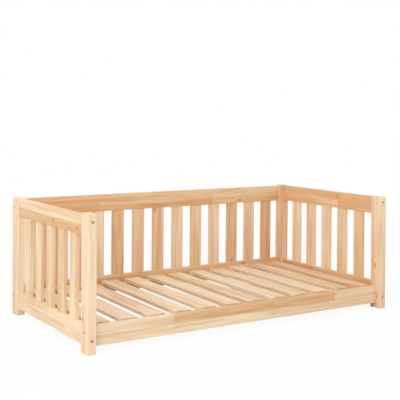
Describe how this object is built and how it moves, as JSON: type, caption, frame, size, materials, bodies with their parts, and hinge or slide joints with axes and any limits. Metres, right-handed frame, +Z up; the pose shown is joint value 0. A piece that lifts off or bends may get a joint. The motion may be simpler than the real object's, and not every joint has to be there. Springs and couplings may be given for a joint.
{
  "type": "toddler floor bed",
  "caption": "Low solid-pine toddler floor bed with slatted ends and back, an open front over a low rail, and a slatted base.",
  "frame": {"origin": "on the floor, under the middle of the bed", "axes": "+X along the bed to the right seen from the open front, +Y from the open front to the slatted back, +Z up"},
  "size_m": [1.69, 0.88, 0.585],
  "materials": {
    "solid_pine": "planed, sanded and unpainted",
    "beech_dowel": "turned, raw",
    "zinc_plated_steel": "bright zinc plate"
  },
  "bodies": {
    "root": {"post_front_left": "solid_pine", "post_front_right": "solid_pine", "post_back_left": "solid_pine", "post_back_right": "solid_pine", "left_top_rail": "solid_pine", "left_bottom_rail": "solid_pine", "left_slat_1": "solid_pine", "left_slat_2": "solid_pine", "left_slat_3": "solid_pine", "left_slat_4": "solid_pine", "left_slat_5": "solid_pine", "right_top_rail": "solid_pine", "right_bottom_rail": "solid_pine", "right_slat_1": "solid_pine", "right_slat_2": "solid_pine", "right_slat_3": "solid_pine", "right_slat_4": "solid_pine", "right_slat_5": "solid_pine", "back_top_rail": "solid_pine", "back_bottom_rail": "solid_pine", "back_slat_01": "solid_pine", "back_slat_02": "solid_pine", "back_slat_03": "solid_pine", "back_slat_04": "solid_pine", "back_slat_05": "solid_pine", "back_slat_06": "solid_pine", "back_slat_07": "solid_pine", "back_slat_08": "solid_pine", "back_slat_09": "solid_pine", "back_slat_10": "solid_pine", "back_slat_11": "solid_pine", "back_slat_12": "solid_pine", "back_slat_13": "solid_pine", "front_rail": "solid_pine", "cleat_front": "solid_pine", "cleat_back": "solid_pine", "base_slat_01": "solid_pine", "base_slat_02": "solid_pine", "base_slat_03": "solid_pine", "base_slat_04": "solid_pine", "base_slat_05": "solid_pine", "base_slat_06": "solid_pine", "base_slat_07": "solid_pine", "base_slat_08": "solid_pine", "base_slat_09": "solid_pine", "base_slat_10": "solid_pine", "base_slat_11": "solid_pine", "base_slat_12": "solid_pine", "connector_bolts": "zinc_plated_steel", "insert_nuts": "zinc_plated_steel", "bolt_plugs": "beech_dowel", "rail_dowels": "beech_dowel", "cleat_screws": "zinc_plated_steel", "base_slat_screws": "zinc_plated_steel"}
  },
  "joints": []
}
